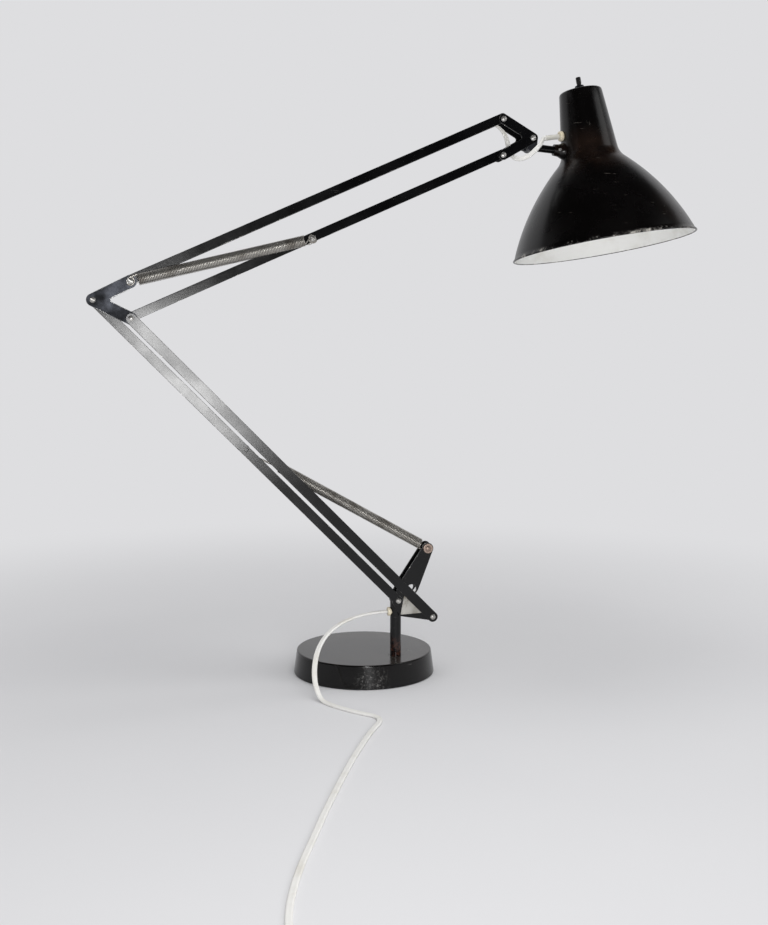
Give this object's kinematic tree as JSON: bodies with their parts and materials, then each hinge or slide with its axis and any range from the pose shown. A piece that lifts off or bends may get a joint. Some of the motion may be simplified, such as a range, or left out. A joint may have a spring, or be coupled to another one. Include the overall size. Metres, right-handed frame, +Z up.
{
  "type": "architect lamp",
  "caption": "Desk lamp with a round weighted base, sprung parallelogram arms on a swivelling bracket, a tilting bell shade with a push switch, and a mains flex.",
  "frame": {"origin": "centre of the base's underside, on the table", "axes": "+Z up; the arms move in a plane parallel to XZ, the shade towards +X, and the picture is taken from the -Y side"},
  "size_m": [0.6492, 0.8687, 0.6525],
  "materials": {
    "black_base": "satin black enamel, scuffed",
    "iron": "rough casting",
    "felt": "pressed felt",
    "black_arm": "satin black enamel, worn edges",
    "black_shade": "gloss black enamel, white inside",
    "worn_steel": "dull worn steel",
    "bright_steel": "plated fastener",
    "spring_steel": "dull spring wire",
    "label": "plain, stained",
    "cream_plastic": "aged",
    "clear_sleeve": "translucent",
    "white_flex": "smooth",
    "tie": "plain",
    "white_plug": "moulded",
    "pins": "plated",
    "holder": "moulded",
    "cap": "screw shell",
    "bulb": "frosted",
    "black_button": "moulded"
  },
  "bodies": {
    "base": {"base_shell": "black_base", "base_weight": "iron", "base_felt": "felt", "spindle_bush": "iron", "flex_tail": "white_flex", "flex_coil": "white_flex", "coil_tie": "tie", "plug_lead": "white_flex", "plug_body": "white_plug", "plug_pins": "pins"},
    "bracket": {"spindle": "black_arm", "cheek_front": "black_arm", "cheek_back": "black_arm", "label_plate": "label", "cord_bushing": "cream_plastic", "arm_screw": "bright_steel", "arm_nut": "bright_steel", "post_screw": "bright_steel"},
    "lower_bar": {"lower_bar": "black_arm", "lower_bar_flex": "white_flex", "spring_pin": "black_arm"},
    "lower_strut": {"strut_front": "black_arm", "strut_back": "black_arm", "strut_pin": "bright_steel"},
    "lower_spring": {"lower_spring": "spring_steel"},
    "elbow": {"elbow_plate_front": "worn_steel", "elbow_plate_back": "worn_steel", "elbow_screw": "bright_steel", "elbow_nut": "bright_steel", "elbow_rivet": "bright_steel", "elbow_spring_screw": "bright_steel", "elbow_flex": "white_flex"},
    "upper_bottom_bar": {"upper_bottom_bar": "black_arm", "bar_spring_screw": "bright_steel"},
    "upper_top_bar": {"upper_top_bar": "black_arm", "upper_bar_flex": "white_flex"},
    "upper_springs": {"upper_spring_front": "spring_steel", "upper_spring_back": "spring_steel"},
    "head": {"head_plate_front": "black_arm", "head_plate_back": "black_arm", "head_rivets": "bright_steel", "head_screw": "bright_steel", "head_nut": "bright_steel"},
    "head_link": {"knuckle": "worn_steel", "shade_rod": "black_arm"},
    "shade": {"shade_bell": "black_shade", "shade_neck": "black_shade", "shade_boss": "black_shade", "boss_set_screw": "bright_steel", "cord_grommet": "cream_plastic", "cord_sleeve": "clear_sleeve", "head_flex": "white_flex", "lamp_holder": "holder", "bulb_cap": "cap", "bulb_glass": "bulb", "switch_nut": "bright_steel"},
    "switch_button": {"switch_button": "black_button"}
  },
  "joints": [
    {"name": "swivel", "type": "hinge", "parent": "base", "child": "bracket", "pos_m": [0.028, -0.038, 0.026], "axis": [0, 0, 1], "range_deg": [-110, 110], "deforming": ["flex_tail"]},
    {"name": "lower_tilt", "type": "hinge", "parent": "bracket", "child": "lower_bar", "pos_m": [0.0295, -0.038, 0.0884], "axis": [0, 1, 0], "range_deg": [-5, 45], "deforming": ["lower_spring", "elbow_flex"]},
    {"name": "strut_tilt", "type": "hinge", "parent": "bracket", "child": "lower_strut", "pos_m": [0.06709, -0.038, 0.06966], "axis": [0, 1, 0], "range_deg": [-5.01, 45.01]},
    {"name": "lower_spring_swing", "type": "hinge", "parent": "bracket", "child": "lower_spring", "pos_m": [0.0625, -0.038, 0.1449], "axis": [0, 1, 0], "range_deg": [-5.5, 49.39]},
    {"name": "elbow_level", "type": "hinge", "parent": "lower_bar", "child": "elbow", "pos_m": [-0.28653, -0.038, 0.41225], "axis": [0, 1, 0], "range_deg": [-45.01, 5.01]},
    {"name": "upper_tilt", "type": "hinge", "parent": "elbow", "child": "upper_bottom_bar", "pos_m": [-0.24895, -0.038, 0.39351], "axis": [0, 1, 0], "range_deg": [-20, 45], "deforming": ["upper_spring_front", "upper_spring_back", "elbow_flex", "head_flex"]},
    {"name": "top_bar_tilt", "type": "hinge", "parent": "elbow", "child": "upper_top_bar", "pos_m": [-0.24895, -0.038, 0.43099], "axis": [0, 1, 0], "range_deg": [-20.01, 45.01]},
    {"name": "upper_spring_swing", "type": "hinge", "parent": "elbow", "child": "upper_springs", "pos_m": [-0.24895, -0.038, 0.43099], "axis": [0, 1, 0], "range_deg": [-19.94, 44.85]},
    {"name": "head_level", "type": "hinge", "parent": "upper_bottom_bar", "child": "head", "pos_m": [0.14266, -0.038, 0.56623], "axis": [0, 1, 0], "range_deg": [-45.01, 20.01]},
    {"name": "head_tilt", "type": "hinge", "parent": "head", "child": "head_link", "pos_m": [0.17566, -0.038, 0.58497], "axis": [0, 1, 0], "range_deg": [-50, 40], "deforming": ["head_flex"]},
    {"name": "shade_roll", "type": "hinge", "parent": "head_link", "child": "shade", "pos_m": [0.17493, -0.038, 0.5767], "axis": [0.9962, 0, -0.0872], "range_deg": [-80, 80], "deforming": ["head_flex"]},
    {"name": "switch_press", "type": "slide", "parent": "shade", "child": "switch_button", "axis": [0.1448, -0.095, -0.9849], "range_m": [0, 0.0025], "stiffness_N_per_m": 400}
  ],
  "couplings": [
    {"joint": "strut_tilt", "follows": "lower_tilt", "ratio": 1},
    {"joint": "lower_spring_swing", "follows": "lower_tilt", "ratio": 1.0974},
    {"joint": "elbow_level", "follows": "lower_tilt", "ratio": -1},
    {"joint": "top_bar_tilt", "follows": "upper_tilt", "ratio": 1},
    {"joint": "upper_spring_swing", "follows": "upper_tilt", "ratio": 0.9965},
    {"joint": "head_level", "follows": "upper_tilt", "ratio": -1}
  ]
}
